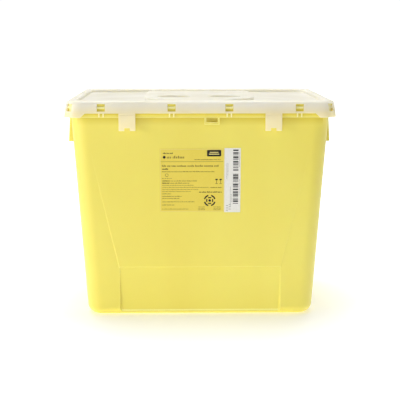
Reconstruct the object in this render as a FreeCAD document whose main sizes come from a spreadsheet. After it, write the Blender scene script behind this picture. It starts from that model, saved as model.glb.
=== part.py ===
import FreeCAD, Part
import math
import os
import re

import Sketcher
from FreeCAD import Placement, Rotation, Vector

# A sharps container of about 30 litres (8 US gallons): a drafted yellow bin, a translucent
# clip-on lid with a hinged drop flap, four lock tabs, two gaskets, two labels and a base pad.
# Frame: millimetres, +Z up, the floor at Z = 0, the front at -Y, the origin at the middle of
# the base.

# Driving dimensions: alias, value in millimetres (or degrees), and what it measures.
SIZES = [
    ("foot_half_x", 185.0, "half width of the bin at the floor"),
    ("foot_half_y", 135.0, "half depth of the bin at the floor"),
    ("wall_flare", 21.0, "how far each wall leans out between floor and rim"),
    ("bin_height", 348.0, "height of the bin's rim"),
    ("bin_wall", 2.5, "thickness of the bin's wall"),
    ("corner_radius", 26.0, "plan radius of the bin's and lid's corners"),
    ("foot_radius", 16.0, "radius between wall and base"),
    ("foot_recess", 0.8, "depth of the shallow recess under the base"),
    ("foot_ring", 20.0, "width of the standing ring round that recess"),
    ("lip_half_x", 210.0, "half width over the turned-down lip"),
    ("lip_half_y", 160.0, "half depth over the turned-down lip"),
    ("lip_wall", 2.2, "thickness of the lip"),
    ("lip_radius", 24.0, "plan radius of the lip's corners"),
    ("lip_bottom", 327.0, "height of the lip's lower edge"),
    ("rim_shelf", 2.4, "thickness of the shelf joining wall and lip"),
    ("rim_round", 1.1, "radius on the rim's upper edge"),
    ("panel_top", 288.0, "height where the raised wall panel runs out"),
    ("panel_low", 82.0, "height of the crease between the wall's two panels"),
    ("panel_proud", 0.8, "how far the raised panel stands out at the crease"),
    ("panel_top_inset", 25.3, "side of the raised panel from the wall's corner, at its top"),
    ("panel_low_inset", 59.3, "side of the raised panel from the wall's corner, at the crease"),
    ("panel_slope", 60.0, "angle of the raised panel's edges, from square to the wall"),
    ("panel_step", 0.2, "depth of the lower panel at the crease"),
    ("panel_recess", 3.8, "depth of the lower panel at the floor"),
    ("panel_narrow", 2.6, "how much each side of the lower panel comes in towards the floor"),
    ("panel_draft", 45.0, "angle of the lower panel's edges, from square to the wall"),
    ("handle_half", 62.0, "half length of a side handle"),
    ("handle_bottom", 279.0, "height of a handle's lower edge"),
    ("handle_top", 331.0, "height of a handle's upper edge"),
    ("handle_reach_top", 214.3, "half width over the handles at their upper edge"),
    ("handle_reach_low", 217.5, "half width over the handles at their lower edge"),
    ("handle_wall", 2.4, "thickness of a handle"),
    ("loop_centre", 18.1, "place of the seal loop along the front"),
    ("loop_width", 23.4, "width over the seal loop"),
    ("loop_bottom", 316.0, "height of the seal loop's lower edge"),
    ("loop_bar", 3.8, "height of the seal loop's bar"),
    ("loop_post", 2.6, "width of the seal loop's posts"),
    ("lid_half_x", 215.0, "half width over the lid's skirt"),
    ("lid_half_y", 165.0, "half depth over the lid's skirt"),
    ("lid_top", 353.0, "height of the lid's crest"),
    ("skirt_lean", 3.4, "how far the skirt leans in between its lower edge and the crest"),
    ("skirt_corner", 327.2, "height of the skirt's lower edge at the corners"),
    ("skirt_bottom", 333.8, "height of the skirt's lower edge between the corners"),
    ("skirt_step_top", 35.0, "skirt step's upper end, from the lid's side"),
    ("skirt_step_low", 26.5, "skirt step's lower end, from the lid's side"),
    ("lid_wall", 2.0, "thickness of the lid"),
    ("shoulder_radius", 6.5, "radius between skirt and crest"),
    ("land_side", 15.6, "width of the crest at the sides"),
    ("land_front", 21.6, "width of the crest at the front"),
    ("land_rear", 14.6, "width of the crest at the rear"),
    ("tray_floor", 347.0, "height of the sunken deck inside the crest"),
    ("tray_radius", 16.0, "plan radius of the sunken deck's corners"),
    ("tray_round", 2.4, "radius along the crest's inner edge"),
    ("plug_half_x", 202.4, "half width over the lid's plug rib"),
    ("plug_half_y", 152.4, "half depth over the lid's plug rib"),
    ("plug_wall", 1.6, "thickness of the plug ribs"),
    ("plug_bottom", 341.0, "height of the lid plug rib's lower edge"),
    ("window_width", 12.7, "width of a snap window"),
    ("window_low", 336.7, "height of a snap window's lower edge"),
    ("window_high", 348.4, "height of a snap window's upper edge"),
    ("window_depth", 5.6, "how far in a snap window is cut"),
    ("snap_inner", 45.0, "inner snaps from the middle, front and rear"),
    ("snap_outer", 155.0, "outer snaps from the middle, front and rear"),
    ("snap_side", 78.0, "side snaps from the middle"),
    ("lug_width", 11.4, "width of a snap lug"),
    ("lug_low", 341.2, "height of a snap lug's hook edge"),
    ("lug_high", 345.0, "height of a snap lug's upper edge"),
    ("lug_reach", 1.6, "how far a lug stands out of the lip"),
    ("lug_slope_end", 0.3, "how far a lug's upper edge stands out"),
    ("rib_place", 3.3, "ribs under a lug, from the lug's middle"),
    ("rib_width", 2.2, "width of a rib under a lug"),
    ("rib_reach", 1.4, "how far those ribs stand out of the lip"),
    ("rib_gap", 0.5, "those ribs stop short of the lip's edge and the skirt by this"),
    ("door_half", 91.0, "half width of the flap, and its front radius"),
    ("door_centre", 41.0, "centre of the flap's round front, ahead of the middle"),
    ("door_rear", 98.0, "flap's rear edge from the middle"),
    ("door_corner", 7.0, "plan radius of the flap's rear corners"),
    ("door_top", 352.6, "height of the flap's upper face"),
    ("door_low", 347.6, "height of the flap rim's lower edge"),
    ("door_plate", 2.4, "thickness of the flap's plate"),
    ("door_rim", 1.8, "thickness of the flap's rim"),
    ("door_round", 1.5, "radius on the flap's upper edge"),
    ("collar_gap", 0.5, "gap between the flap and the collar it covers"),
    ("collar_wall", 2.0, "thickness of the drop opening's collar"),
    ("collar_top", 348.6, "height of the collar"),
    ("door_plug_low", 345.6, "height of the flap plug rib's lower edge"),
    ("well_radius", 28.0, "radius of a finger well"),
    ("well_place", 42.0, "finger wells from the middle, sideways and forwards"),
    ("well_floor", 348.8, "height of a finger well's floor"),
    ("hinge_y", 104.0, "flap hinge axis behind the middle"),
    ("hinge_z", 350.2, "height of the flap hinge axis"),
    ("hinge_place", 67.5, "middle of each flap hinge, sideways"),
    ("hinge_barrel", 10.5, "half length of a hinge barrel"),
    ("barrel_radius", 2.2, "radius of a hinge barrel"),
    ("pin_radius", 1.5, "radius of a hinge trunnion"),
    ("pin_gap", 0.08, "radial running gap of a trunnion"),
    ("bracket_width", 5.0, "width of a hinge bracket"),
    ("bracket_depth", 6.8, "depth of a hinge bracket"),
    ("latch_place", 114.6, "middle of each lock tab, sideways"),
    ("latch_width", 26.0, "width of a lock tab"),
    ("latch_axis_y", 163.1, "lock tab axis from the middle"),
    ("latch_axis_z", 333.2, "height of the lock tab axis"),
    ("latch_bottom", 306.5, "height of a lock tab's lower edge"),
    ("latch_wall", 2.2, "thickness of a lock tab"),
    ("bead_radius", 1.2, "radius of the bead a lock tab turns on"),
    ("bead_gap", 0.1, "radial running gap of that bead"),
    ("barb_top", 326.0, "height of a lock tab's barb"),
    ("barb_reach", 1.9, "how far the barb stands in from the tab"),
    ("notch_width", 8.7, "width of the notch in a lock tab's lower edge"),
    ("notch_depth", 4.4, "depth of that notch"),
    ("gasket_outer", 3.3, "outer side of the lid gasket, in from the lip"),
    ("gasket_width", 2.4, "width of the lid gasket"),
    ("gasket_gap", 0.1, "gap left above and below a gasket"),
    ("door_gasket_width", 3.4, "width of the flap gasket"),
    ("pad_half_x", 163.0, "half width of the absorbent pad"),
    ("pad_half_y", 113.0, "half depth of the absorbent pad"),
    ("pad_thickness", 3.0, "thickness of the absorbent pad"),
    ("film", 0.25, "thickness of a label"),
    ("film_gap", 0.02, "glue line behind a label"),
    ("label_left", 64.4, "left edge of the printed label, from the middle"),
    ("label_right", 38.0, "right edge of the printed label"),
    ("label_low", 175.0, "height of the printed label's lower edge"),
    ("label_high", 102.3, "length of the printed label along the wall"),
    ("sticker_left", 38.2, "left edge of the barcode sticker"),
    ("sticker_right", 64.0, "right edge of the barcode sticker"),
    ("sticker_low", 174.0, "height of the barcode sticker's lower edge"),
    ("sticker_high", 104.2, "length of the barcode sticker along the wall"),
]
ALIASES = {alias for alias, _, _ in SIZES}

doc = FreeCAD.newDocument("sharps_container")
sheet = doc.addObject("Spreadsheet::Sheet", "Sizes")
for row, (alias, number, note) in enumerate(SIZES, start=1):
    sheet.set(f"A{row}", note)
    sheet.set(f"B{row}", str(number))
    sheet.setAlias(f"B{row}", alias)
doc.recompute()


# ---- helpers: expressions -------------------------------------------------------------------

def formula(text):
    """A sheet expression from a sum written with plain aliases."""
    return re.sub(r"[a-z][a-z_]+", lambda word: "Sizes." + word[0] if word[0] in ALIASES else word[0],
                  str(text))


def number(text):
    """The present value of such a sum."""
    return float(sheet.evalExpression(formula(text)))


def bind(thing, **sums):
    """Bind properties of an object to sums of sheet values."""
    for name, text in sums.items():
        thing.setExpression(name, formula(text))


def place(thing, x="0", y="0", z="0", turn=Rotation()):
    """Put an object at a point given by sums of sheet values."""
    thing.Placement = Placement(Vector(number(x), number(y), number(z)), turn)
    for axis, text in zip("xyz", (x, y, z)):
        thing.setExpression(f"Placement.Base.{axis}", formula(text))


def wall(axis, height):
    """Half size of the drafted wall's outer face along an axis, at a height."""
    return f"(foot_half_{axis} + wall_flare * ({height}) / bin_height)"


# ---- helpers: sketches ----------------------------------------------------------------------

def new_sketch(body, name, height):
    """A sketch on the body's XY plane, raised to a height."""
    sketch = body.newObject("Sketcher::SketchObject", name)
    plane = next(item for item in body.Origin.OriginFeatures if item.Role == "XY_Plane")
    sketch.AttachmentSupport = [(plane, "")]
    sketch.MapMode = "FlatFace"
    sketch.setExpression("AttachmentOffset.Base.z", formula(height))
    return sketch


def constrain(sketch, kind, *ends, size=None):
    """Add a constraint; size is the sum of sheet values that drives it."""
    if size is None:
        sketch.addConstraint(Sketcher.Constraint(kind, *ends))
        return
    index = sketch.addConstraint(Sketcher.Constraint(kind, *ends, number(size)))
    sketch.setExpression(f"Constraints[{index}]", formula(size))


def arc(centre_x, centre_y, radius, start, end):
    """An arc in the sketch plane, anticlockwise between two angles in degrees."""
    circle = Part.Circle(Vector(centre_x, centre_y, 0), Vector(0, 0, 1), radius)
    return Part.ArcOfCircle(circle, math.radians(start), math.radians(end))


def draw_chain(sketch, pieces):
    """Draw lines and arcs that follow one another anticlockwise, each tangent to the next."""
    first = sketch.GeometryCount
    for piece in pieces:
        sketch.addGeometry(piece, False)
    for step in range(len(pieces)):
        here, following = first + step, first + (step + 1) % len(pieces)
        constrain(sketch, "Tangent", here, 2, following, 1)
    return first


def line(x1, y1, x2, y2):
    return Part.LineSegment(Vector(x1, y1, 0), Vector(x2, y2, 0))


def rounded_box(sketch, side, front, rear, radius):
    """A rectangle with round corners; side, front and rear are measured from the middle."""
    x, near, far, r = number(side), -number(front), number(rear), number(radius)
    first = draw_chain(sketch, [
        line(-x + r, near, x - r, near), arc(x - r, near + r, r, 270, 360),
        line(x, near + r, x, far - r), arc(x - r, far - r, r, 0, 90),
        line(x - r, far, -x + r, far), arc(-x + r, far - r, r, 90, 180),
        line(-x, far - r, -x, near + r), arc(-x + r, near + r, r, 180, 270)])
    front_line, right_line, rear_line, left_line = first, first + 2, first + 4, first + 6
    constrain(sketch, "Horizontal", front_line)
    constrain(sketch, "Horizontal", rear_line)
    constrain(sketch, "Vertical", right_line)
    constrain(sketch, "Vertical", left_line)
    for corner in (first + 3, first + 5, first + 7):
        constrain(sketch, "Equal", first + 1, corner)
    constrain(sketch, "Radius", first + 1, size=radius)
    constrain(sketch, "DistanceX", -1, 1, right_line, 1, size=side)
    constrain(sketch, "DistanceX", left_line, 1, -1, 1, size=side)
    constrain(sketch, "DistanceY", front_line, 1, -1, 1, size=front)
    constrain(sketch, "DistanceY", -1, 1, rear_line, 1, size=rear)


def plain_box(sketch, x1, x2, y1, y2):
    """A straight rectangle between four sums of sheet values."""
    left, right, near, far = number(x1), number(x2), number(y1), number(y2)
    first = sketch.GeometryCount
    for side in (line(left, near, right, near), line(right, near, right, far),
                 line(right, far, left, far), line(left, far, left, near)):
        sketch.addGeometry(side, False)
    for step in range(4):
        constrain(sketch, "Coincident", first + step, 2, first + (step + 1) % 4, 1)
        constrain(sketch, "Vertical" if step % 2 else "Horizontal", first + step)
    for kind, corner, text in (("DistanceX", first, x1), ("DistanceX", first + 2, x2),
                               ("DistanceY", first, y1), ("DistanceY", first + 2, y2)):
        if number(text) > 0:
            constrain(sketch, kind, -1, 1, corner, 1, size=text)
        else:
            constrain(sketch, kind, corner, 1, -1, 1, size=f"0 - ({text})")


def leaning_sketch(body, name, turn, height, out, other_height, other_out):
    """A sketch on a leaning panel of the front wall, turned about the bin's middle to any wall.

    The panel passes out of the middle by out at one height and by other_out at another; the
    sketch's X axis is level at the first height, and its Y axis runs up the panel.
    """
    lean = number(f"atan((({other_out}) - ({out})) / (({other_height}) - ({height})))")
    upright = Rotation(Vector(0, 0, 1), turn).multiply(Rotation(Vector(1, 0, 0), 90 + lean))
    across, along = round(math.sin(math.radians(turn))), round(math.cos(math.radians(turn)))
    sketch = body.newObject("Sketcher::SketchObject", name)
    place(sketch, f"{across} * ({out})", f"{-along} * ({out})", height, upright)
    return sketch


def trapezoid(sketch, half, far_half, rise):
    """A symmetric trapezoid from the sketch's X axis to a level above it, or below it."""
    near, far, up = number(half), number(far_half), number(rise)
    corners = [(-near, 0), (near, 0), (far, up), (-far, up)]
    first = sketch.GeometryCount
    for step in range(4):
        sketch.addGeometry(line(*corners[step], *corners[(step + 1) % 4]), False)
    for step in range(4):
        constrain(sketch, "Coincident", first + step, 2, first + (step + 1) % 4, 1)
    constrain(sketch, "PointOnObject", first, 1, -1)
    constrain(sketch, "PointOnObject", first, 2, -1)
    constrain(sketch, "Horizontal", first + 2)
    constrain(sketch, "DistanceX", first, 1, -1, 1, size=half)
    constrain(sketch, "DistanceX", -1, 1, first, 2, size=half)
    constrain(sketch, "DistanceX", -1, 1, first + 2, 1, size=far_half)
    constrain(sketch, "DistanceX", first + 2, 2, -1, 1, size=far_half)
    if up > 0:
        constrain(sketch, "DistanceY", -1, 1, first + 2, 1, size=rise)
    else:
        constrain(sketch, "DistanceY", first + 2, 1, -1, 1, size=f"0 - ({rise})")


def box_at_wall(sketch, wall_name, centre, half, inner, outer):
    """A straight rectangle against a wall: centred along it, from inner to outer across it."""
    span = (f"{centre} - ({half})", f"{centre} + {half}")
    out = (inner, outer) if wall_name in ("rear", "right") else (f"0 - ({outer})", f"0 - ({inner})")
    ends = span + out if wall_name in ("front", "rear") else out + span
    plain_box(sketch, *ends)


def flap_outline(sketch, inset):
    """The flap's outline, a square rear and a half-round front, drawn inside itself by inset."""
    half, rear = f"(door_half - ({inset}))", f"(door_rear - ({inset}))"
    corner = f"max(door_corner - ({inset}); 1.5)"
    x, far, r, centre = number(half), number(rear), number(corner), -number("door_centre")
    first = draw_chain(sketch, [
        line(x, centre, x, far - r), arc(x - r, far - r, r, 0, 90),
        line(x - r, far, -x + r, far), arc(-x + r, far - r, r, 90, 180),
        line(-x, far - r, -x, centre), arc(0, centre, x, 180, 360)])
    right_line, rear_line, left_line, front_arc = first, first + 2, first + 4, first + 5
    constrain(sketch, "Vertical", right_line)
    constrain(sketch, "Vertical", left_line)
    constrain(sketch, "Horizontal", rear_line)
    constrain(sketch, "Equal", first + 1, first + 3)
    constrain(sketch, "Radius", first + 1, size=corner)
    constrain(sketch, "DistanceX", -1, 1, right_line, 1, size=half)
    constrain(sketch, "DistanceX", left_line, 1, -1, 1, size=half)
    constrain(sketch, "DistanceY", front_arc, 1, -1, 1, size="door_centre")
    constrain(sketch, "DistanceY", -1, 1, rear_line, 1, size=rear)


# ---- helpers: features ----------------------------------------------------------------------

def new_body(label):
    body = doc.addObject("PartDesign::Body", label)
    body.Label = label
    return body


def pad(body, name, sketch, length):
    feature = body.newObject("PartDesign::Pad", name)
    feature.Profile = sketch
    bind(feature, Length=length)
    return feature


def pocket(body, name, sketch, length, upwards=False):
    feature = body.newObject("PartDesign::Pocket", name)
    feature.Profile = sketch
    feature.Reversed = upwards
    bind(feature, Length=length)
    return feature


UPRIGHT = Rotation(Vector(1, 0, 0), 90)
ALONG_X = Rotation(Vector(0, 1, 0), 90)


def taper(body, name, bottom, top, low, high, cut=False, turn=0, x="0", y="0"):
    """A block between two heights whose box (x1, x2, y1, y2) changes from low to high.

    The block may be turned about a vertical axis through (x, y).
    """
    kind = "SubtractiveWedge" if cut else "AdditiveWedge"
    wedge = body.newObject("PartDesign::" + kind, name)
    bind(wedge, Ymin=bottom, Ymax=top,
         Xmin=low[0], Xmax=low[1], Zmin=f"0 - ({low[3]})", Zmax=f"0 - ({low[2]})",
         X2min=high[0], X2max=high[1], Z2min=f"0 - ({high[3]})", Z2max=f"0 - ({high[2]})")
    place(wedge, x, y, turn=Rotation(Vector(0, 0, 1), turn).multiply(UPRIGHT))
    return wedge


def block(body, name, box, bottom, top, cut=False, turn=0, x="0", y="0"):
    """A straight block, its box (x1, x2, y1, y2) the same at both heights."""
    return taper(body, name, bottom, top, box, box, cut, turn, x, y)


def rod(body, name, radius, x, y, z, length, cut=False, turn=ALONG_X):
    """A round rod from a point, along X unless turned."""
    kind = "SubtractiveCylinder" if cut else "AdditiveCylinder"
    cylinder = body.newObject("PartDesign::" + kind, name)
    bind(cylinder, Radius=radius, Height=length)
    place(cylinder, x, y, z, turn)
    return cylinder


def edges_where(feature, test):
    """Names of a feature's edges for which test(edge's box, edge) holds."""
    doc.recompute()
    found = [f"Edge{n}" for n, edge in enumerate(feature.Shape.Edges, start=1)
             if test(edge.BoundBox, edge)]
    if not found:
        raise RuntimeError(f"{feature.Label}: no edge found")
    return found


def fillet(body, name, feature, test, radius):
    names = edges_where(feature, test)
    rounding = body.newObject("PartDesign::Fillet", name)
    rounding.Base = (feature, names)
    bind(rounding, Radius=radius)
    doc.recompute()
    return rounding


def shell(body, name, feature, open_height, thickness):
    """Hollow a solid inwards, leaving its flat face at a height open."""
    doc.recompute()
    faces = [f"Face{n}" for n, face in enumerate(feature.Shape.Faces, start=1)
             if abs(face.BoundBox.ZMin - open_height) < 1e-3 and abs(face.BoundBox.ZMax - open_height) < 1e-3]
    hollow = body.newObject("PartDesign::Thickness", name)
    hollow.Base = (feature, faces)
    hollow.Reversed = True
    hollow.Join = 0
    bind(hollow, Value=thickness)
    doc.recompute()
    if hollow.Shape.Volume > feature.Shape.Volume:
        raise RuntimeError(f"{name}: hollowed outwards")
    return hollow


def level(box, height):
    """Whether an edge's box lies flat at a height."""
    return abs(box.ZMin - height) < 1e-3 and abs(box.ZMax - height) < 1e-3


# ---- bin --------------------------------------------------------------------------------------

# The places of the snaps along the front and rear walls, and along the side walls.
FRONT_SNAPS = ("0 - snap_outer", "0 - snap_inner", "snap_inner", "snap_outer")
SIDE_SNAPS = ("0 - snap_side", "snap_side")
# Quarter turns that bring the front (-Y) wall's features round to each wall, with the axis
# that wall faces, the axis that it runs along, and its snaps.
WALLS = (("front", 0, "y", "x", FRONT_SNAPS), ("rear", 180, "y", "x", FRONT_SNAPS),
         ("right", 90, "x", "y", SIDE_SNAPS), ("left", 270, "x", "y", SIDE_SNAPS))
CORNERS = (("front_right", 45, 1, -1), ("rear_right", 135, 1, 1),
           ("rear_left", 225, -1, 1), ("front_left", 315, -1, -1))


def make_tub(body):
    """The drafted, round-cornered tub, hollowed from above."""
    foot = ("0 - foot_half_x", "foot_half_x", "0 - foot_half_y", "foot_half_y")
    mouth = ("0 - " + wall("x", "bin_height"), wall("x", "bin_height"),
             "0 - " + wall("y", "bin_height"), wall("y", "bin_height"))
    solid = taper(body, "tub_block", "0", "bin_height", foot, mouth)
    upright = fillet(body, "tub_corners", solid, lambda box, edge: box.ZLength > 100, "corner_radius")
    footed = fillet(body, "tub_foot", upright, lambda box, edge: level(box, 0), "foot_radius")
    shell(body, "tub_hollow", footed, number("bin_height"), "bin_wall")


def make_rim(body):
    """The shelf that turns out from the wall, and the lip that turns down from it."""
    shelf = new_sketch(body, "shelf_sketch", "bin_height - rim_shelf")
    rounded_box(shelf, "lip_half_x", "lip_half_y", "lip_half_y", "lip_radius")
    middle = "- bin_wall / 2"
    rounded_box(shelf, wall("x", "bin_height") + middle, wall("y", "bin_height") + middle,
                wall("y", "bin_height") + middle, "corner_radius" + middle)
    pad(body, "rim_shelf", shelf, "rim_shelf")
    lip = new_sketch(body, "lip_sketch", "lip_bottom")
    rounded_box(lip, "lip_half_x", "lip_half_y", "lip_half_y", "lip_radius")
    rounded_box(lip, "lip_half_x - lip_wall", "lip_half_y - lip_wall", "lip_half_y - lip_wall",
                "lip_radius - lip_wall")
    turned = pad(body, "rim_lip", lip, "bin_height - lip_bottom")
    top, out = number("bin_height"), number("lip_half_x")
    fillet(body, "rim_edge", turned,
           lambda box, edge: level(box, top) and edge_outside(edge, out, number("lip_half_y")), "rim_round")


def edge_outside(edge, half_x, half_y):
    """Whether an edge runs along the outermost rounded rectangle of these half sizes."""
    middle = edge.valueAt((edge.FirstParameter + edge.LastParameter) / 2)
    radius = number("lip_radius")
    dx, dy = abs(middle.x) - (half_x - radius), abs(middle.y) - (half_y - radius)
    reach = math.hypot(max(dx, 0), max(dy, 0))
    return abs(reach - radius) < 0.05


def make_wall_panels(body):
    """On each wall: a raised panel narrowing downwards, and a sunken one under it."""
    for name, turn, out, along, _ in WALLS:
        top, low = wall(out, "panel_top"), wall(out, "panel_low")
        side_top = wall(along, "panel_top") + " - panel_top_inset"
        side_low = wall(along, "panel_low") + " - panel_low_inset"
        raised = leaning_sketch(body, f"raised_sketch_{name}", turn, "panel_low", f"{low} + panel_proud",
                                "panel_top", top)
        trapezoid(raised, side_low, side_top, "panel_top - panel_low")
        panel = pad(body, f"raised_{name}", raised, "panel_proud + 0.7")
        panel.Reversed = True
        bind(panel, TaperAngle="panel_slope")
        # The sunken panel's plane at a height, between the crease and the floor.
        foot = f"(foot_half_{out} - panel_recess)"
        sunken = lambda height: f"({foot} + ({low} - panel_step - {foot}) * ({height}) / panel_low)"
        backed = (f"0 - ({side_low} + 2 * bin_wall)", f"{side_low} + 2 * bin_wall")
        taper(body, f"backing_{name}", "9", "panel_low",
              backed + (f"0 - ({sunken('9')} + 1)", f"0 - ({sunken('9')} - bin_wall)"),
              backed + (f"0 - ({low} - 0.3)", f"0 - ({low} - 2)"), turn=turn)
        lower = leaning_sketch(body, f"sunken_sketch_{name}", turn, "panel_low", f"{low} - panel_step",
                               "0", foot)
        trapezoid(lower, f"{side_low} - 0.5", f"{side_low} - panel_narrow", "0 - panel_low - 12")
        sunk = pocket(body, f"sunken_{name}", lower, "12", upwards=True)
        bind(sunk, TaperAngle="panel_draft")


def make_foot(body):
    """The shallow recess under the base, which leaves a ring to stand on."""
    recess = new_sketch(body, "foot_sketch", "0")
    rounded_box(recess, "foot_half_x - foot_radius - foot_ring", "foot_half_y - foot_radius - foot_ring",
                "foot_half_y - foot_radius - foot_ring", "corner_radius / 2")
    pocket(body, "foot_recess", recess, "foot_recess", upwards=True)


def make_lugs(body):
    """Snap lugs on the lip, each over two short ribs, and one more lug on each corner."""
    lugs = new_sketch(body, "lug_sketch", "lug_low")
    ribs = new_sketch(body, "rib_sketch", "lip_bottom + rib_gap")
    for name, _, out, _, snaps in WALLS:
        face = f"lip_half_{out}"
        root = f"{face} - lip_wall + 0.3"
        for snap in snaps:
            box_at_wall(lugs, name, snap, "lug_width / 2", root, f"{face} + lug_reach")
            for side in (-1, 1):
                box_at_wall(ribs, name, f"{snap} + {side} * rib_place", "rib_width / 2", root,
                            f"{face} + rib_reach")
    pad(body, "ribs", ribs, "skirt_bottom - lip_bottom - 2 * rib_gap")
    hooks = pad(body, "lugs", lugs, "lug_high - lug_low")
    top, out_x, out_y = number("lug_high"), number("lip_half_x + 0.1"), number("lip_half_y + 0.1")
    ramps = body.newObject("PartDesign::Chamfer", "lug_ramps")
    ramps.Base = (hooks, edges_where(hooks, lambda box, edge: level(box, top) and (
        min(abs(box.XMin), abs(box.XMax)) > out_x or min(abs(box.YMin), abs(box.YMax)) > out_y)))
    bind(ramps, Size="lug_reach - lug_slope_end")
    doc.recompute()
    for name, turn, right, back in CORNERS:
        span = ("0 - lug_width / 2", "lug_width / 2")
        root = "lip_wall - 0.3 - lip_radius"
        taper(body, f"lug_{name}", "lug_low", "lug_high",
              span + ("0 - (lip_radius + lug_reach)", root),
              span + ("0 - (lip_radius + lug_slope_end)", root), turn=turn,
              x=f"{right} * (lip_half_x - lip_radius)", y=f"{back} * (lip_half_y - lip_radius)")


def make_handles(body):
    """A hanging grip under the rim at each side, closed at its ends by webs."""
    for name, turn in (("right", 90), ("left", 270)):
        span = ("0 - handle_half", "handle_half")
        taper(body, f"grip_{name}", "handle_bottom", "handle_top",
              span + ("0 - handle_reach_low", "0 - (handle_reach_low - handle_wall)"),
              span + ("0 - handle_reach_top", "0 - (handle_reach_top - handle_wall)"), turn=turn)
        block(body, f"grip_roof_{name}",
              span + ("0 - (handle_reach_top - 1)", "0 - (lip_half_x - lip_wall / 2)"),
              "handle_top - handle_wall", "handle_top", turn=turn)
        for end in (-1, 1):
            near, far = ("handle_half - handle_wall", "handle_half") if end > 0 else (
                "0 - handle_half", "handle_wall - handle_half")
            taper(body, f"grip_web_{name}_{end + 2}", "handle_bottom", "handle_top",
                  (near, far, "0 - (handle_reach_low - 1)", f"0 - ({wall('x', 'handle_bottom')} - 1)"),
                  (near, far, "0 - (handle_reach_top - 1)", f"0 - ({wall('x', 'handle_top')} - 1)"),
                  turn=turn)


def make_loop(body):
    """The loop under the front lip that takes a seal or padlock."""
    outer = ("loop_centre - loop_width / 2", "loop_centre + loop_width / 2",
             "0 - lip_half_y", "lip_wall - lip_half_y")
    block(body, "loop", outer, "loop_bottom", "lip_bottom + 1")
    hole = ("loop_centre - loop_width / 2 + loop_post", "loop_centre + loop_width / 2 - loop_post",
            "0 - lip_half_y - 1", "lip_wall - lip_half_y + 1")
    block(body, "loop_hole", hole, "loop_bottom + loop_bar", "lip_bottom", cut=True)


def make_bin():
    body = new_body("bin_body")
    make_tub(body)
    make_rim(body)
    make_wall_panels(body)
    make_foot(body)
    make_handles(body)
    make_loop(body)
    make_lugs(body)
    return body


# ---- lid --------------------------------------------------------------------------------------

def make_lid_shell(body):
    """The skirt and crest, as a hollow cap, with the skirt's lower edge stepped up mid-wall."""
    low = ("0 - lid_half_x", "lid_half_x", "0 - lid_half_y", "lid_half_y")
    top = ("skirt_lean - lid_half_x", "lid_half_x - skirt_lean",
           "skirt_lean - lid_half_y", "lid_half_y - skirt_lean")
    solid = taper(body, "cap_block", "skirt_corner", "lid_top", low, top)
    upright = fillet(body, "cap_corners", solid, lambda box, edge: box.ZLength > 10, "corner_radius")
    crest = number("lid_top")
    rounded = fillet(body, "cap_shoulder", upright, lambda box, edge: level(box, crest), "shoulder_radius")
    shell(body, "cap_hollow", rounded, number("skirt_corner"), "lid_wall")
    for name, turn, out, along, _ in WALLS:
        reach = f"(lid_half_{out} + 5)"
        low_half, high_half = f"(lid_half_{along} - skirt_step_low)", f"(lid_half_{along} - skirt_step_top)"
        taper(body, f"skirt_step_{name}", "skirt_corner - 1", "skirt_bottom",
              (f"0 - {low_half}", low_half, f"0 - {reach}", f"0 - {reach} + 12"),
              (f"0 - {high_half}", high_half, f"0 - {reach}", f"0 - {reach} + 12"), cut=True, turn=turn)


def make_tray(body):
    """The sunken deck inside the crest, and the plug rib that seals inside the bin."""
    side = "lid_half_x - skirt_lean - land_side"
    front = "lid_half_y - skirt_lean - land_front"
    rear = "lid_half_y - skirt_lean - land_rear"
    tub = new_sketch(body, "tray_sketch", "tray_floor - lid_wall")
    rounded_box(tub, side + " + lid_wall", front + " + lid_wall", rear + " + lid_wall",
                "tray_radius + lid_wall")
    pad(body, "tray_block", tub, "lid_top - tray_floor + lid_wall")
    hollow = new_sketch(body, "deck_sketch", "lid_top")
    rounded_box(hollow, side, front, rear, "tray_radius")
    sunk = pocket(body, "deck", hollow, "lid_top - tray_floor")
    crest, deck, half = number("lid_top"), number("tray_floor"), number(side)
    sunk = fillet(body, "crest_edge", sunk,
                  lambda box, edge: level(box, crest) and abs(box.XMax) < half + 0.1
                  and abs(box.XMin) < half + 0.1, "tray_round")
    fillet(body, "deck_edge", sunk, lambda box, edge: level(box, deck), "tray_round * 0.8")
    plug = new_sketch(body, "plug_sketch", "plug_bottom")
    round_plug = "plug_half_x - foot_half_x - wall_flare + corner_radius"
    rounded_box(plug, "plug_half_x", "plug_half_y", "plug_half_y", round_plug)
    rounded_box(plug, "plug_half_x - plug_wall", "plug_half_y - plug_wall", "plug_half_y - plug_wall",
                round_plug + " - plug_wall")
    pad(body, "plug_rib", plug, "lid_top - lid_wall / 2 - plug_bottom")


def make_collar(body):
    """The collar round the drop opening, covered by the flap's rim."""
    outer = "door_rim + collar_gap"
    collar = new_sketch(body, "collar_sketch", "tray_floor - lid_wall")
    flap_outline(collar, outer)
    pad(body, "collar", collar, "collar_top - tray_floor + lid_wall")
    opening = new_sketch(body, "opening_sketch", "collar_top")
    flap_outline(opening, outer + " + collar_wall")
    pocket(body, "drop_opening", opening, "collar_top - tray_floor + lid_wall")


def make_windows(body):
    """Snap windows through the skirt, over the lip's lugs."""
    windows = new_sketch(body, "window_sketch", "window_high")
    for name, _, out, _, snaps in WALLS:
        for snap in snaps:
            box_at_wall(windows, name, snap, "window_width / 2", f"lid_half_{out} - window_depth",
                        f"lid_half_{out} + 2")
    pocket(body, "windows", windows, "window_high - window_low")
    for name, turn, right, back in CORNERS:
        block(body, f"window_{name}",
              ("0 - window_width / 2", "window_width / 2", "0 - corner_radius - 3",
               "window_depth + 1 - corner_radius"), "window_low", "window_high", cut=True, turn=turn,
              x=f"{right} * (lid_half_x - corner_radius)", y=f"{back} * (lid_half_y - corner_radius)")


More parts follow.
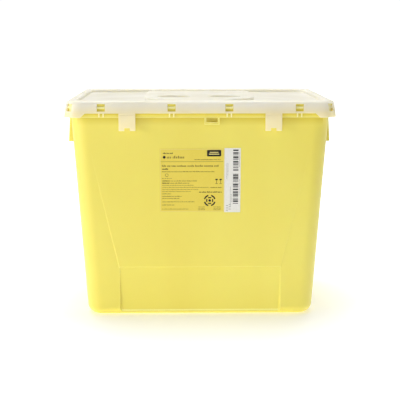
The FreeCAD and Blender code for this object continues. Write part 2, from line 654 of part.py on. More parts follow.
def make_brackets(body):
    """Two bored brackets for each of the flap's hinges."""
    brackets = new_sketch(body, "bracket_sketch", "tray_floor - lid_wall / 2")
    for side in (-1, 1):
        for end in (-1, 1):
            middle = f"{side} * hinge_place + {end} * (hinge_barrel + 0.5 + bracket_width / 2)"
            plain_box(brackets, f"{middle} - bracket_width / 2", f"{middle} + bracket_width / 2",
                      "hinge_y - bracket_depth / 2", "hinge_y + bracket_depth / 2")
    pad(body, "brackets", brackets, "hinge_z + 2.6 - tray_floor + lid_wall / 2")
    for side in (-1, 1):
        rod(body, f"bracket_bore_{side + 2}", "pin_radius + pin_gap",
            f"{side} * hinge_place - hinge_barrel - bracket_width - 1", "hinge_y", "hinge_z",
            "2 * (hinge_barrel + bracket_width + 1)", cut=True)


def make_latch_grooves(body):
    """Half-round grooves in the skirt's lower edge, in which the lock tabs' beads turn."""
    for name, right, back in LATCHES:
        rod(body, f"groove_{name}", "bead_radius + bead_gap",
            f"{right} * latch_place - latch_width / 2 - 0.3", f"{back} * latch_axis_y", "latch_axis_z",
            "latch_width + 0.6", cut=True)


def make_lid():
    body = new_body("lid_cover")
    make_lid_shell(body)
    make_tray(body)
    make_collar(body)
    make_windows(body)
    make_brackets(body)
    make_latch_grooves(body)
    return body


# ---- flap -------------------------------------------------------------------------------------

def make_flap():
    """The drop opening's hinged flap: plate, rim, plug rib, two finger wells, tab and hinges."""
    body = new_body("flap_door")
    outline = new_sketch(body, "flap_sketch", "door_low")
    flap_outline(outline, "0")
    plate = pad(body, "flap_block", outline, "door_top - door_low")
    top = number("door_top")
    plate = fillet(body, "flap_edge", plate, lambda box, edge: level(box, top), "door_round")
    under = new_sketch(body, "flap_under_sketch", "door_low")
    flap_outline(under, "door_rim")
    pocket(body, "flap_under", under, "door_top - door_plate - door_low", upwards=True)
    plug = new_sketch(body, "flap_plug_sketch", "door_plug_low")
    inner = "door_rim + 2 * collar_gap + collar_wall"
    flap_outline(plug, inner)
    flap_outline(plug, inner + " + plug_wall")
    pad(body, "flap_plug", plug, "door_top - door_plate / 2 - door_plug_low")
    for side in (-1, 1):
        spot = (f"{side} * well_place", "0 - well_place")
        rod(body, f"well_cup_{side + 2}", "well_radius + lid_wall", *spot, "well_floor - lid_wall",
            "door_top - door_plate / 2 - well_floor + lid_wall", turn=Rotation())
        well = rod(body, f"well_{side + 2}", "well_radius", *spot, "well_floor",
                   "door_top - well_floor + 1", cut=True, turn=Rotation())
    floor = number("well_floor")
    well = fillet(body, "well_rims", well, lambda box, edge: level(box, top) and box.XLength < 60, "0.9")
    fillet(body, "well_floors", well, lambda box, edge: level(box, floor), "1.6")
    tab = ("0 - 15", "15", "0 - door_centre - door_half - 4.6", "0 - door_centre - door_half + 3")
    block(body, "lift_tab", tab, "door_top - door_plate", "door_top - 0.5")
    for side in (-1, 1):
        middle = f"{side} * hinge_place"
        block(body, f"hinge_arm_{side + 2}",
              (f"{middle} - hinge_barrel", f"{middle} + hinge_barrel", "door_rear - 1", "hinge_y"),
              "hinge_z - 1", "hinge_z + 2")
        rod(body, f"hinge_barrel_{side + 2}", "barrel_radius", f"{middle} - hinge_barrel", "hinge_y",
            "hinge_z", "2 * hinge_barrel")
        rod(body, f"hinge_pin_{side + 2}", "pin_radius", f"{middle} - hinge_barrel - bracket_width",
            "hinge_y", "hinge_z", "2 * (hinge_barrel + bracket_width)")
    return body


# ---- lock tabs --------------------------------------------------------------------------------

LATCHES = (("front_left", -1, -1), ("front_right", 1, -1), ("rear_left", -1, 1), ("rear_right", 1, 1))


def make_latch(name, right, back):
    """A lock tab, built for the front wall about its own axis and turned to its place."""
    body = new_body(f"latch_{name}")
    half = ("0 - latch_width / 2", "latch_width / 2")
    rod(body, f"bead_{name}", "bead_radius", "0 - latch_width / 2", "0", "0", "latch_width")
    block(body, f"neck_{name}", half + ("0 - 0.5", "0.5"), "0 - 2.2", "0")
    plate = ("1 - latch_wall", "1")
    block(body, f"tab_{name}", half + plate, "latch_bottom - latch_axis_z", "0 - 1.9")
    taper(body, f"barb_{name}", "barb_top - latch_axis_z - 5", "barb_top - latch_axis_z",
          half + ("0.5", "1.1"), half + ("0.5", "1 + barb_reach"))
    notched = block(body, f"notch_{name}",
                    ("0 - notch_width / 2", "notch_width / 2", "0 - 5", "5"),
                    "latch_bottom - latch_axis_z - 1", "latch_bottom - latch_axis_z + notch_depth", cut=True)
    front = number("1 - latch_wall")
    fillet(body, f"tab_edges_{name}", notched,
           lambda box, edge: abs(box.YMin - front) < 1e-3 and abs(box.YMax - front) < 1e-3
           and box.ZMax < -1.8, "0.6")
    place(body, f"{right} * latch_place", f"{back} * latch_axis_y", "latch_axis_z",
          Rotation(Vector(0, 0, 1), 0 if back < 0 else 180))
    return body


# ---- gaskets, pad and labels ------------------------------------------------------------------

def make_lid_gasket():
    """The seal that the lid presses on the bin's rim."""
    body = new_body("lid_gasket")
    ring = new_sketch(body, "lid_gasket_sketch", "bin_height + gasket_gap")
    for inset in ("gasket_outer", "gasket_outer + gasket_width"):
        rounded_box(ring, f"lip_half_x - ({inset})", f"lip_half_y - ({inset})", f"lip_half_y - ({inset})",
                    f"lip_radius - ({inset})")
    pad(body, "lid_gasket_ring", ring, "lid_top - lid_wall - bin_height - 2 * gasket_gap")
    return body


def make_door_gasket():
    """The seal under the flap that closes on the collar."""
    body = new_body("door_gasket")
    ring = new_sketch(body, "door_gasket_sketch", "collar_top + gasket_gap")
    flap_outline(ring, "door_rim + 0.2")
    flap_outline(ring, "door_rim + 0.2 + collar_wall")
    pad(body, "door_gasket_ring", ring, "door_top - door_plate - collar_top - 2 * gasket_gap")
    return body


def make_pad():
    """The absorbent pad on the bin's floor."""
    body = new_body("absorbent_pad")
    outline = new_sketch(body, "pad_sketch", "bin_wall + 0.05")
    rounded_box(outline, "pad_half_x", "pad_half_y", "pad_half_y", "corner_radius / 2")
    solid = pad(body, "pad_block", outline, "pad_thickness")
    top = number("bin_wall + 0.05 + pad_thickness")
    fillet(body, "pad_edge", solid, lambda box, edge: level(box, top), "1")
    return body


def make_label(name, left, right, low, length):
    """A thin film on the raised panel of the front wall, leaning with it."""
    film = doc.addObject("Part::Box", name)
    film.Label = name
    bind(film, Length=f"{right} - ({left})", Width="film", Height=length)
    crease = wall("y", "panel_low") + " + panel_proud"
    rise = f"(({wall('y', 'panel_top')} - ({crease})) / (panel_top - panel_low))"
    lean = number(f"atan({rise})")
    place(film, left, f"0 - ({crease} + {rise} * ({low} - panel_low)) - film_gap - film", low,
          Rotation(Vector(1, 0, 0), lean))
    film.setExpression("Placement.Rotation.Angle", formula(f"atan({rise})"))
    return film


# ---- build, check and write -------------------------------------------------------------------

nodes = [make_bin(), make_lid(), make_flap()]
nodes += [make_latch(*latch) for latch in LATCHES]
nodes += [make_lid_gasket(), make_door_gasket(), make_pad()]
nodes.append(make_label("print_label", "0 - label_left", "label_right", "label_low", "label_high"))
nodes.append(make_label("barcode_sticker", "sticker_left", "sticker_right", "sticker_low", "sticker_high"))
doc.recompute()

broken = [item.Label for item in doc.Objects if {"Invalid", "Error"} & set(item.State)]
broken += [node.Label for node in nodes if node.Shape.isNull() or not node.Shape.isValid()]
if broken:
    raise RuntimeError("could not be built: " + ", ".join(broken))

os.makedirs("parts", exist_ok=True)
for node in nodes:
    node.Shape.exportStep(f"parts/{node.Label}.step")
    print(node.Label, len(node.Shape.Solids), "solid,", round(node.Shape.Volume / 1000, 1), "cm3")
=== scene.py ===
"""A sharps container: a drafted yellow bin with a clip-on milky lid, a flap, lock tabs and labels.

Metres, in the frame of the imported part: +Z up, the front at -Y, the floor at Z = 0.
"""
import math
import random

import bpy
from mathutils import Euler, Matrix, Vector


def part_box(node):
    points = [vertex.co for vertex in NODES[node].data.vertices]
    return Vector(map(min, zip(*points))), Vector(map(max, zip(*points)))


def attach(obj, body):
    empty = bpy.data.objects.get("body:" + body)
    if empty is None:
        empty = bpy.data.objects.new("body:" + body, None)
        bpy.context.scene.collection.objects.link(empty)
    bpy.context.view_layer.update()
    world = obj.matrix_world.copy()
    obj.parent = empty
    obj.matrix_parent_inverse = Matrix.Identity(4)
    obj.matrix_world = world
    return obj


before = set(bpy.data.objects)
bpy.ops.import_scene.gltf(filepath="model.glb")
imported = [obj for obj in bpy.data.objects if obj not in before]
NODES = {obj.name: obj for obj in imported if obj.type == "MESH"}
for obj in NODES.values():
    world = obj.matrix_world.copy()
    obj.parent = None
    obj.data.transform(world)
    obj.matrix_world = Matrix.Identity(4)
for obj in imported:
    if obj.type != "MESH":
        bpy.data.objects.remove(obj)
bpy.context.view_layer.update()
MM = 0.001
LIP_LOW = 0.3270          # the lower edge of the bin's turned-down lip
SEAM_LOW = 0.3305         # where the shade of the seam under the lid begins on the lip
SEAM_HIGH = 0.3360        # where the lid's skirt covers it
SKIRT_LOW = 0.333         # the lid's painted see-through tint and glow colour are full here, at the foot of its skirt,
WARM_HIGH = 0.346         # and gone here, near the crest
LIP_INSIDE_LID = 4.6 * MM  # from the side of the lid in to the face of the bin's lip
SHARP_ANGLE = 32          # degrees between faces above which an edge stays sharp


# ---- node trees -----------------------------------------------------------------------------

def srgb(red, green, blue):
    """A linear colour from 0-255 display values."""
    def channel(value):
        value /= 255
        return value / 12.92 if value <= 0.04045 else ((value + 0.055) / 1.055) ** 2.4
    return (channel(red), channel(green), channel(blue), 1.0)


class Tree:
    """A material's node tree, built one short call at a time."""

    def __init__(self, name):
        self.material = bpy.data.materials.new(name)
        self.material.use_nodes = True
        self.nodes = self.material.node_tree.nodes
        self.links = self.material.node_tree.links
        self.nodes.clear()
        self.output = self.add("ShaderNodeOutputMaterial")
        self.where = self.add("ShaderNodeTexCoord").outputs["Object"]

    def add(self, kind, inputs=None, **settings):
        """A new node with its inputs fed by name or by place."""
        node = self.nodes.new(kind)
        for key, value in settings.items():
            setattr(node, key, value)
        for key, value in (inputs or {}).items():
            self.feed(node.inputs[key], value)
        return node

    def feed(self, socket, value):
        """Link another node's output to a socket, or set the socket's own value."""
        if isinstance(value, bpy.types.NodeSocket):
            self.links.new(value, socket)
        else:
            socket.default_value = value

    def stretched(self, scale):
        """Object coordinates, scaled differently along each axis."""
        return self.add("ShaderNodeMapping", {"Vector": self.where, "Scale": scale}).outputs["Vector"]

    def noise(self, scale, detail=2.0, roughness=0.5, vector=None):
        """Cloudy noise around 0.5; the scale in features a metre."""
        return self.add("ShaderNodeTexNoise", {
            "Vector": vector or self.where, "Scale": scale, "Detail": detail,
            "Roughness": roughness}).outputs["Fac"]

    def spread(self, value, low, high, from_low=0.3, from_high=0.7):
        """A value mapped and clamped to a range."""
        return self.add("ShaderNodeMapRange", {
            "Value": value, "From Min": from_low, "From Max": from_high,
            "To Min": low, "To Max": high}).outputs["Result"]

    def math(self, operation, first, second=0.0):
        """One arithmetic step."""
        return self.add("ShaderNodeMath", {0: first, 1: second}, operation=operation).outputs[0]

    def blend(self, amount, first, second):
        """Two colours mixed; the sockets are picked by place, because their names repeat."""
        node = self.add("ShaderNodeMix", data_type="RGBA")
        self.feed(node.inputs[0], amount)
        self.feed(node.inputs[6], first)
        self.feed(node.inputs[7], second)
        return node.outputs[2]

    def bump(self, height, strength, distance, normal=None):
        """A bumped normal, over another one if given; the distance in metres."""
        inputs = {"Height": height, "Strength": strength, "Distance": distance}
        if normal is not None:
            inputs["Normal"] = normal
        return self.add("ShaderNodeBump", inputs).outputs["Normal"]

    def place(self):
        """The X, Y and Z coordinates, in metres."""
        return self.add("ShaderNodeSeparateXYZ", {"Vector": self.where}).outputs

    def edges(self, reach=1.8 * MM):
        """1 along convex edges, where little of the piece lies behind the surface."""
        behind = self.add("ShaderNodeAmbientOcclusion", {"Distance": reach}, samples=8, inside=True)
        return self.spread(behind.outputs["AO"], 1.0, 0.0, 0.55, 0.97)

    def hollows(self, reach=9 * MM):
        """1 deep in grooves and inner corners."""
        around = self.add("ShaderNodeAmbientOcclusion", {"Distance": reach}, samples=8)
        return self.spread(around.outputs["AO"], 1.0, 0.0, 0.25, 0.95)

    def surface(self, shader):
        """Send a shader to the material's surface, and hand the material back."""
        self.links.new(shader, self.output.inputs["Surface"])
        return self.material


def mixed(tree, amount, first, second):
    """Two shaders mixed."""
    return tree.add("ShaderNodeMixShader", {0: amount, 1: first, 2: second}).outputs[0]


def principled(tree, **inputs):
    """A Principled shader; its inputs are named with _ for each space."""
    named = {key.replace("_", " "): value for key, value in inputs.items()}
    return tree.add("ShaderNodeBsdfPrincipled", named).outputs[0]


# ---- materials ------------------------------------------------------------------------------

def bin_plastic():
    """Injection-moulded yellow polypropylene: grain, faint flow streaks, painted highlights on edges,
    lugs and ribs, painted shade in hollows and under the lip.
    """
    tree = Tree("bin_plastic")
    streaks = tree.noise(9.0, 3.0, vector=tree.stretched((1.0, 1.0, 0.22)))
    clouds = tree.noise(5.0, 2.0)
    deep, mid, pale = srgb(228, 211, 74), srgb(232, 218, 85), srgb(236, 226, 112)
    colour = tree.blend(tree.spread(streaks, 0.0, 1.0), deep, mid)
    colour = tree.blend(tree.spread(clouds, 0.0, 0.3), colour, pale)
    # Painted shade: a deeper yellow in grooves and inner corners.
    colour = tree.blend(tree.math("MULTIPLY", tree.hollows(), 0.8), colour, srgb(214, 196, 30))
    # Painted shade: a deeper yellow under the lip and in the seam under the lid's skirt.
    colour = tree.blend(tree.math("MULTIPLY", painted_lip_shade(tree), 0.9), colour, srgb(210, 190, 30))
    # Painted highlight: a pale yellow along convex edges.
    colour = tree.blend(tree.math("MULTIPLY", tree.edges(), 0.8), colour, srgb(254, 248, 160))
    # Painted highlight: a paler yellow on the lugs and ribs on the lip and at the corners.
    colour = tree.blend(tree.math("MULTIPLY", painted_lug_highlight(tree), 0.6), colour, srgb(250, 243, 188))
    scuffs = tree.noise(160.0, 4.0, 0.7, tree.stretched((1.0, 1.0, 0.3)))
    rough = tree.math("ADD", tree.spread(clouds, 0.40, 0.50), tree.spread(scuffs, 0.0, 0.08, 0.55, 0.75))
    grain = tree.bump(tree.noise(1400.0, 2.0), 0.25, 0.00025)
    waves = tree.bump(tree.noise(28.0, 1.0), 0.20, 0.0012, grain)
    return tree.surface(principled(
        tree, Base_Color=colour, Roughness=rough, Normal=waves, IOR=1.52, Subsurface_Weight=0.25,
        Subsurface_Radius=(0.004, 0.003, 0.0008), Subsurface_Scale=1.0,
        Coat_Weight=0.35, Coat_Roughness=0.35))


def painted_lip_shade(tree):
    """Painted shade: 1 where the colour is made deeper, on the wall just under the lip and in the lid's
    seam.
    """
    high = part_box("bin_body")[1]
    place = tree.place()
    # The front and rear walls only: clear of the grips at the sides and of the lip itself.
    grips, lip = 24 * MM, 4.6 * MM
    in_x = tree.math("SUBTRACT", high[0] - grips, tree.math("ABSOLUTE", place["X"]))
    in_y = tree.math("SUBTRACT", high[1] - lip, tree.math("ABSOLUTE", place["Y"]))
    inside = tree.spread(tree.math("MINIMUM", in_x, in_y), 0.0, 1.0, 0.0, 0.5 * MM)
    under_lip = tree.spread(place["Z"], 0.0, 1.0, LIP_LOW - 13 * MM, LIP_LOW - 0.5 * MM)
    above = tree.spread(place["Z"], 0.0, 1.0, SEAM_LOW, SEAM_LOW + 2 * MM)
    below = tree.spread(place["Z"], 1.0, 0.0, SEAM_HIGH - 0.5 * MM, SEAM_HIGH)
    seam = tree.math("MULTIPLY", tree.math("MULTIPLY", above, below), 0.9)
    return tree.math("MAXIMUM", tree.math("MULTIPLY", under_lip, inside), seam)


def painted_lug_highlight(tree):
    """Painted highlight: 1 on the lip's snap lugs and ribs, more at the corners, where they are made
    paler.
    """
    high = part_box("lid_cover")[1]
    place = tree.place()
    side_x = tree.math("ABSOLUTE", place["X"])
    side_y = tree.math("ABSOLUTE", place["Y"])
    out_x = tree.math("SUBTRACT", side_x, high[0] - LIP_INSIDE_LID)
    out_y = tree.math("SUBTRACT", side_y, high[1] - LIP_INSIDE_LID)
    out = tree.spread(tree.math("MAXIMUM", out_x, out_y), 0.0, 1.0, 0.2 * MM, 0.5 * MM)
    corner = high[0] + high[1] - 25.0 * MM
    at_corner = tree.spread(tree.math("ADD", side_x, side_y), 0.0, 1.6, corner, corner + 1.0 * MM)
    out = tree.math("MAXIMUM", out, at_corner)
    # At the sides the grips stand out as far, so the mask begins above them.
    above_grips = tree.spread(place["Z"], 0.0, 1.0, 0.3315, 0.3317)
    on_ends = tree.spread(out_y, 0.0, 1.0, 0.0, 0.2 * MM)
    over_lip_edge = tree.spread(place["Z"], 0.0, 1.0, LIP_LOW, LIP_LOW + 0.5 * MM)
    chosen = tree.math("MAXIMUM", above_grips, tree.math("MULTIPLY", on_ends, over_lip_edge))
    return tree.math("MULTIPLY", out, chosen)


def lid_plastic():
    """Natural polypropylene: milky, faintly see-through, with soft flow clouds, painted edge highlights,
    a painted see-through tint and a painted glow.
    """
    tree = Tree("lid_plastic")
    clouds = tree.noise(14.0, 3.0)
    milk, cream = srgb(250, 248, 240), srgb(245, 240, 220)
    colour = tree.blend(tree.spread(clouds, 0.0, 0.5), milk, cream)
    # Painted highlight: near white along the lid's convex edges.
    colour = tree.blend(tree.math("MULTIPLY", tree.edges(), 0.7), colour, srgb(252, 251, 246))
    # Painted see-through tint: the bin's yellow showing through the lower skirt is painted into the
    # colour, and fades towards the crest.
    warmth = tree.spread(tree.place()["Z"], 1.0, 0.0, SKIRT_LOW, WARM_HIGH)
    colour = tree.blend(tree.math("MULTIPLY", warmth, 0.7), colour, srgb(247, 238, 204))
    # Painted glow colour: warm yellow low on the skirt, near white towards the crest.
    inner = tree.blend(warmth, srgb(250, 248, 236), srgb(255, 240, 160))
    rough = tree.spread(tree.noise(60.0, 3.0), 0.30, 0.42)
    grain = tree.bump(tree.noise(1100.0, 2.0), 0.20, 0.0002)
    waves = tree.bump(tree.noise(40.0, 1.0), 0.15, 0.001, grain)
    # Painted glow: a weak emission stands in for light scattered inside the wall, which comes out warm.
    body = principled(tree, Base_Color=colour, Roughness=rough, Normal=waves, IOR=1.49,
                      Subsurface_Weight=0.5, Subsurface_Radius=(0.008, 0.007, 0.005),
                      Subsurface_Scale=1.0, Emission_Color=inner, Emission_Strength=0.13)
    glow = tree.add("ShaderNodeBsdfTranslucent", {"Color": colour, "Normal": waves}).outputs[0]
    clear = tree.add("ShaderNodeBsdfTransparent", {"Color": srgb(250, 247, 232)}).outputs[0]
    return tree.surface(mixed(tree, tree.spread(clouds, 0.20, 0.26),
                              mixed(tree, 0.25, body, glow), clear))


def seal_rubber():
    """Soft grey seal with a fine matt skin."""
    tree = Tree("seal_rubber")
    dust = tree.noise(220.0, 4.0)
    colour = tree.blend(tree.spread(dust, 0.0, 1.0), srgb(205, 205, 200), srgb(222, 222, 217))
    return tree.surface(principled(tree, Base_Color=colour, Roughness=0.62,
                                   Normal=tree.bump(dust, 0.2, 0.0002)))


def pad_felt():
    """White non-woven felt with stray fibres and a dimpled press pattern."""
    tree = Tree("pad_felt")
    fibres = tree.noise(500.0, 6.0, 0.75, tree.stretched((1.0, 0.25, 1.0)))
    dimples = tree.add("ShaderNodeTexVoronoi", {"Vector": tree.where, "Scale": 160.0}).outputs["Distance"]
    colour = tree.blend(tree.spread(fibres, 0.0, 1.0), srgb(226, 226, 220), srgb(247, 247, 243))
    normal = tree.bump(dimples, 0.6, 0.0008, tree.bump(fibres, 0.5, 0.0004))
    return tree.surface(principled(tree, Base_Color=colour, Roughness=0.95, Normal=normal))


def label_film():
    """Mustard printed film with faint print grain."""
    tree = Tree("label_film")
    grain = tree.noise(900.0, 3.0, 0.6)
    drift = tree.noise(22.0, 2.0)
    colour = tree.blend(tree.spread(grain, 0.0, 1.0), srgb(219, 196, 56), srgb(226, 205, 70))
    colour = tree.blend(tree.spread(drift, 0.0, 0.35), colour, srgb(229, 209, 82))
    return tree.surface(principled(tree, Base_Color=colour, Roughness=tree.spread(drift, 0.30, 0.40),
                                   Normal=tree.bump(grain, 0.1, 0.00008), IOR=1.5))


def sticker_paper():
    """White sticker paper with short fibres."""
    tree = Tree("sticker_paper")
    fibres = tree.noise(700.0, 5.0, 0.7, tree.stretched((1.0, 1.0, 0.4)))
    colour = tree.blend(tree.spread(fibres, 0.0, 1.0), srgb(220, 218, 210), srgb(232, 231, 225))
    return tree.surface(principled(tree, Base_Color=colour, Roughness=0.55,
                                   Normal=tree.bump(fibres, 0.2, 0.0001)))


def ink(name, light, dark):
    """Printing ink, broken slightly where the film's grain shows through."""
    tree = Tree(name)
    speckle = tree.noise(1500.0, 4.0, 0.7)
    colour = tree.blend(tree.spread(speckle, 0.0, 1.0, 0.35, 0.75), dark, light)
    return tree.surface(principled(tree, Base_Color=colour, Roughness=tree.spread(speckle, 0.4, 0.6),
                                   Specular_IOR_Level=0.25))


def floor_paper():
    """A seamless pale studio floor."""
    tree = Tree("floor_paper")
    tone = tree.noise(3.0, 2.0)
    colour = tree.blend(tree.spread(tone, 0.0, 1.0), srgb(244, 245, 248), srgb(248, 249, 251))
    # Painted shadow and painted bounce light: the sweep glows on the object most from close by, and to
    # the camera most from far away, which darkens it round the object like a shadow.
    distance = tree.add("ShaderNodeVectorMath", {0: tree.where}, operation="LENGTH").outputs["Value"]
    seen = tree.add("ShaderNodeLightPath").outputs["Is Camera Ray"]
    camera_glow_painted_shadow = tree.spread(distance, 0.32, 0.9, 0.25, 1.4)
    object_glow_painted_bounce = tree.spread(distance, 0.80, 0.56, 0.25, 0.65)
    glow = tree.add("ShaderNodeMix", {0: seen, 2: object_glow_painted_bounce, 3: camera_glow_painted_shadow}).outputs[0]
    return tree.surface(principled(tree, Base_Color=colour, Roughness=0.9,
                                   Emission_Color=(1, 1, 1, 1), Emission_Strength=glow))


def dress(node, material):
    """Give a CAD node one material and smooth shading up to its sharp edges."""
    mesh = NODES[node].data
    mesh.materials.clear()
    mesh.materials.append(material)
    for polygon in mesh.polygons:
        polygon.use_smooth = True
    mesh.set_sharp_from_angle(angle=math.radians(SHARP_ANGLE))


# ---- print on the labels --------------------------------------------------------------------

class Print:
    """Flat raised ink on a label: closed shapes drawn in millimetres from its lower left corner."""

    THICKNESS = 0.05

    def __init__(self, name, node, material, slot):
        self.name, self.node, self.material, self.slot = name, node, material, slot
        self.vertices, self.faces = [], []
        mesh = NODES[node].data
        front = min(mesh.polygons, key=lambda face: face.normal.y)
        self.normal = front.normal.normalized()
        self.right = Vector((1, 0, 0))
        self.up = self.normal.cross(self.right)
        level = self.normal.dot(mesh.vertices[front.vertices[0]].co)
        outer = [v.co for v in mesh.vertices if abs(self.normal.dot(v.co) - level) < 0.02 * MM]
        self.corner = min(outer, key=lambda point: point.x + point.z)
        far = max(outer, key=lambda point: point.x + point.z)
        self.width = (far - self.corner).dot(self.right) / MM
        self.height = (far - self.corner).dot(self.up) / MM

    def point(self, u, v, lift):
        """The place in space of a point on the label, lifted off its face."""
        return self.corner + (self.right * u + self.up * v + self.normal * lift) * MM

    def shape(self, outline):
        """A closed plate over an outline of (u, v) points given anticlockwise."""
        start, count = len(self.vertices), len(outline)
        for lift in (-0.01, self.THICKNESS):
            self.vertices += [self.point(u, v, lift) for u, v in outline]
        self.faces.append([start + n for n in reversed(range(count))])
        self.faces.append([start + count + n for n in range(count)])
        for n in range(count):
            after = (n + 1) % count
            self.faces.append([start + n, start + after, start + count + after, start + count + n])

    def bar(self, u, v, width, height):
        """An upright rectangle from its lower left corner."""
        self.shape([(u, v), (u + width, v), (u + width, v + height), (u, v + height)])

    def disc(self, u, v, radius, sides=28):
        """A round dot."""
        self.shape([(u + radius * math.cos(2 * math.pi * n / sides),
                     v + radius * math.sin(2 * math.pi * n / sides)) for n in range(sides)])

    def ring(self, u, v, radius, width, start=0.0, end=360.0, sides=40):
        """A flat ring or part of one, as quads between two radii."""
        steps = max(3, round(sides * (end - start) / 360))
        for n in range(steps):
            first = math.radians(start + (end - start) * n / steps)
            second = math.radians(start + (end - start) * (n + 1) / steps)
            self.shape([(u + r * math.cos(a), v + r * math.sin(a)) for r, a in (
                (radius - width, first), (radius, first),
                (radius, second), (radius - width, second))])

    def words(self, u, v, length, size, weight=0.5, seed=0):
        """A greeked line of text: letter-sized blocks in words, with no letters drawn."""
        dice = random.Random(seed)
        at = u
        while at < u + length:
            for _ in range(dice.randint(3, 8)):
                width = size * dice.uniform(0.38, 0.62)
                if at + width > u + length:
                    return
                tall = dice.choice((0.72, 0.72, 0.72, 1.0))
                self.bar(at, v, width * (0.6 + 0.4 * weight), size * tall)
                at += width + size * 0.12
            at += size * 0.45

    def finish(self):
        """Make the ink one piece that rides with the bin."""
        mesh = bpy.data.meshes.new(self.name)
        mesh.from_pydata([tuple(vertex) for vertex in self.vertices], [], self.faces)
        mesh.materials.append(self.material)
        piece = bpy.data.objects.new(self.name, mesh)
        bpy.context.scene.collection.objects.link(piece)
        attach(piece, "bin")
        return piece


def label_print():
    """The printed label's dark and soft ink. Heights below are from the label's top edge."""
    black = ink("ink_black", srgb(36, 32, 24), srgb(18, 17, 15))
    brown = ink("ink_brown", srgb(140, 118, 46), srgb(98, 82, 34))
    pale = ink("ink_pale", srgb(236, 222, 140), srgb(228, 212, 122))
    dark = Print("label_ink_dark", "print_label", black, "label_film")
    soft = Print("label_ink_soft", "print_label", brown, "label_film")
    light = Print("label_ink_light", "print_label", pale, "label_film")
    wide, high = dark.width, dark.height
    # A pale border line round the label.
    border = 0.7
    for v in (0.5, high - 0.5 - border):
        light.bar(0.5, v, wide - 1.0, border)
    for u in (0.5, wide - 0.5 - border):
        light.bar(u, 0.5 + border, border, high - 1.0 - 2 * border)
    # Header: a short line, a heading, a plain dark badge, a small line and a rule.
    dark.words(5, high - 8.2, 17, 2.0, 0.8, seed=1)
    dark.disc(7.2, high - 13.6, 2.3)
    soft.words(11.5, high - 15.6, 29, 4.2, 0.2, seed=2)
    badge(dark, light, wide - 27.5, high - 12.4, 22.5, 10.4)
    soft.words(55, high - 18.2, wide - 60, 1.5, 0.6, seed=3)
    soft.bar(1.6, high - 21.0, wide - 3.2, 0.5)
    # Title block.
    soft.words(3.6, high - 29.0, 90, 3.0, 0.5, seed=4)
    dark.words(3.6, high - 33.6, 11, 2.2, 0.9, seed=5)
    soft.words(3.6, high - 37.6, 84, 1.5, 0.6, seed=6)
    soft.ring(11, high - 42.6, 2.6, 0.6)
    soft.words(3.6, high - 48.4, 16, 1.2, 0.5, seed=7)
    # Small paragraphs on the left.
    for row, (drop, length, size) in enumerate((
            (52.6, 56, 1.6), (56.2, 44, 1.6), (59.6, 50, 1.1), (63.0, 74, 1.1), (66.4, 58, 1.1),
            (69.6, 46, 1.1), (73.6, 14, 1.5), (77.8, 31, 1.5), (81.2, 28, 1.5), (86.6, 52, 1.4),
            (91.8, 20, 1.5), (98.4, 42, 1.2))):
        soft.words(3.6, high - drop, length, size, 0.6, seed=20 + row)
    dark.words(3.6, high - 52.6, 11, 1.7, 0.9, seed=40)
    dark.words(3.6, high - 56.2, 11, 1.7, 0.9, seed=41)
    # Two small upright marks over a caption on the right.
    for u in (wide - 14.0, wide - 7.5):
        dark.bar(u, high - 50.8, 3.6, 2.2)
        soft.bar(u + 1.4, high - 55.6, 0.8, 5.2)
        soft.bar(u, high - 56.8, 3.6, 0.8)
    soft.words(wide - 22, high - 63.4, 19, 1.6, 0.7, seed=42)
    # A plain ring emblem with its caption, and small notes beneath.
    dark.words(wide - 40, high - 71.0, 36, 1.9, 0.9, seed=43)
    emblem(dark, wide - 23.0, high - 84.0)
    for row in range(3):
        soft.words(wide - 41, high - 95.0 - 2.3 * row, 11, 1.2, 0.6, seed=50 + row)
        soft.words(wide - 17, high - 95.0 - 2.3 * row, 12, 1.2, 0.6, seed=60 + row)
    for sheet in (dark, soft, light):
        sheet.finish()


def badge(dark, light, u, v, width, height):
    """A plain dark plate with round corners and two pale lines on it."""
    radius = 1.6
    corners = ((u + width - radius, v + radius, -90), (u + width - radius, v + height - radius, 0),
               (u + radius, v + height - radius, 90), (u + radius, v + radius, 180))
    outline = [(cu + radius * math.cos(math.radians(start + step * 18)),
                cv + radius * math.sin(math.radians(start + step * 18)))
               for cu, cv, start in corners for step in range(6)]
    dark.shape(outline)
    light.THICKNESS = 0.09
    light.bar(u + 4.5, v + 5.9, width - 9.0, 1.3)
    light.bar(u + 3.2, v + 3.0, width - 6.4, 1.3)


def emblem(dark, u, v):
    """Two broken rings round a disc: a plain mark with no meaning."""
    dark.disc(u, v, 2.1)
    for turn in (45, 135, 225, 315):
        dark.ring(u, v, 9.6, 2.3, turn - 30, turn + 30)
        dark.ring(u, v, 5.8, 1.9, turn + 15, turn + 75)


def sticker_print():
    """The sticker's upright bar code, in two groups, and its small side print."""
    black = ink("ink_code", srgb(66, 64, 62), srgb(34, 33, 33))
    grey = ink("ink_grey", srgb(176, 174, 170), srgb(150, 148, 146))
    code = Print("sticker_ink_code", "barcode_sticker", black, "sticker_paper")
    notes = Print("sticker_ink_notes", "barcode_sticker", grey, "sticker_paper")
    dice = random.Random(11)
    high = code.height
    for top, bottom in ((high - 2.4, high - 37.5), (high - 41.5, high - 91.0)):
        at = top
        while at > bottom:
            bar = dice.choice((0.6, 0.9, 1.5, 2.3))
            if at - bar < bottom:
                break
            code.bar(13.8, at - bar, 8.4, bar)
            at -= bar + dice.choice((0.5, 0.6, 0.9, 1.9))
    for column, (u, top, length) in enumerate((
            (3.4, high - 24, 26), (5.2, high - 24, 20), (9.4, high - 62, 34), (11.2, high - 74, 14),
            (23.4, high - 6, 24), (23.4, high - 50, 26))):
        turned_words(notes, u, top, length, 1.1, seed=70 + column)
    for row in range(6):
        notes.bar(3.0 + (row % 2) * 4.2, high - 101.5 + row * 1.9, 3.4, 1.1)
    for sheet in (code, notes):
        sheet.finish()


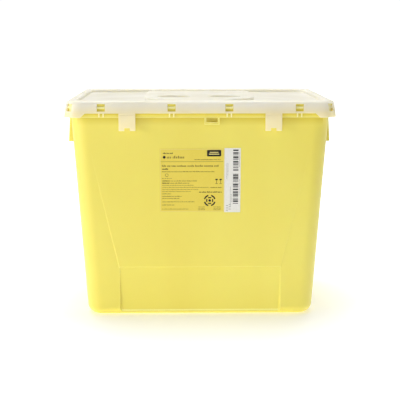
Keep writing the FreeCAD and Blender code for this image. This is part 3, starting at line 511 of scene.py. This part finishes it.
def turned_words(sheet, u, top, length, size, seed):
    """A greeked line of text that runs down the sticker."""
    dice = random.Random(seed)
    at = top
    while at > top - length:
        for _ in range(dice.randint(3, 8)):
            step = size * dice.uniform(0.38, 0.62)
            if at - step < top - length:
                return
            sheet.bar(u, at - step, size * dice.choice((0.72, 0.72, 1.0)), step * 0.8)
            at -= step + size * 0.12
        at -= size * 0.45


# ---- stage ----------------------------------------------------------------------------------

def make_floor(material):
    """A wide flat floor at Z = 0."""
    mesh = bpy.data.meshes.new("floor")
    reach = 6.0
    mesh.from_pydata([(-reach, -reach, 0), (reach, -reach, 0), (reach, reach, 0), (-reach, reach, 0)],
                     [], [(0, 1, 2, 3)])
    mesh.materials.append(material)
    floor = bpy.data.objects.new("floor", mesh)
    bpy.context.scene.collection.objects.link(floor)


def area_light(name, place, target, size, power):
    """A square light at a place, aimed at a target; its size in metres, its power in watts."""
    data = bpy.data.lights.new(name, "AREA")
    data.shape, data.size, data.energy = "SQUARE", size, power
    light = bpy.data.objects.new(name, data)
    light.location = place
    light.rotation_euler = (Vector(target) - Vector(place)).to_track_quat("-Z", "Y").to_euler()
    bpy.context.scene.collection.objects.link(light)


def make_room():
    """A white room, brighter on the left and behind, that looks plain white to the camera."""
    world = bpy.data.worlds.new("studio")
    world.use_nodes = True
    nodes, links = world.node_tree.nodes, world.node_tree.links
    towards = nodes.new("ShaderNodeVectorMath")
    towards.operation = "DOT_PRODUCT"
    towards.inputs[1].default_value = (-0.20, 0.26, 0.15)
    links.new(nodes.new("ShaderNodeTexCoord").outputs["Generated"], towards.inputs[0])
    level = nodes.new("ShaderNodeMath")
    level.inputs[1].default_value = 0.27
    links.new(towards.outputs["Value"], level.inputs[0])
    seen = nodes.new("ShaderNodeMix")
    seen.inputs[3].default_value = 1.05
    links.new(nodes.new("ShaderNodeLightPath").outputs["Is Camera Ray"], seen.inputs[0])
    links.new(level.outputs[0], seen.inputs[2])
    links.new(seen.outputs[0], nodes["Background"].inputs["Strength"])
    nodes["Background"].inputs["Color"].default_value = (1, 1, 1, 1)
    bpy.context.scene.world = world


def make_light():
    """Lights: a small main one low on the left, a soft one overhead, a weak one low in front."""
    middle = (0, 0, 0.2)
    area_light("key", (-2.1, -1.1, 0.45), middle, 0.4, 17)
    area_light("top", (0.0, 0.5, 2.4), middle, 1.8, 52)
    area_light("low", (-0.3, -2.0, 0.15), (0, 0, 0.02), 0.8, 3)


def make_camera():
    """The viewpoint: a long lens, a little left of the middle, looking ten degrees down."""
    data = bpy.data.cameras.new("camera")
    data.sensor_width = 36.0
    data.lens = 87.67
    camera = bpy.data.objects.new("camera", data)
    camera.location = (-0.0262, -1.6807, 0.4626)
    pitch, yaw = math.radians(9.93), math.radians(0.96)
    camera.rotation_euler = Euler((math.pi / 2 - pitch, 0, -yaw), "XYZ")
    bpy.context.scene.collection.objects.link(camera)
    bpy.context.scene.camera = camera


# ---- assembly -------------------------------------------------------------------------------

lid = lid_plastic()
seal = seal_rubber()
dress("bin_body", bin_plastic())
dress("print_label", label_film())
dress("barcode_sticker", sticker_paper())
dress("absorbent_pad", pad_felt())
for lid_node in ["lid_cover", "flap_door"] + [name for name in NODES if name.startswith("latch_")]:
    dress(lid_node, lid)
for seal_node in ("lid_gasket", "door_gasket"):
    dress(seal_node, seal)
label_print()
sticker_print()
make_floor(floor_paper())
make_room()
make_light()
make_camera()
bpy.context.scene.view_settings.view_transform = "Standard"
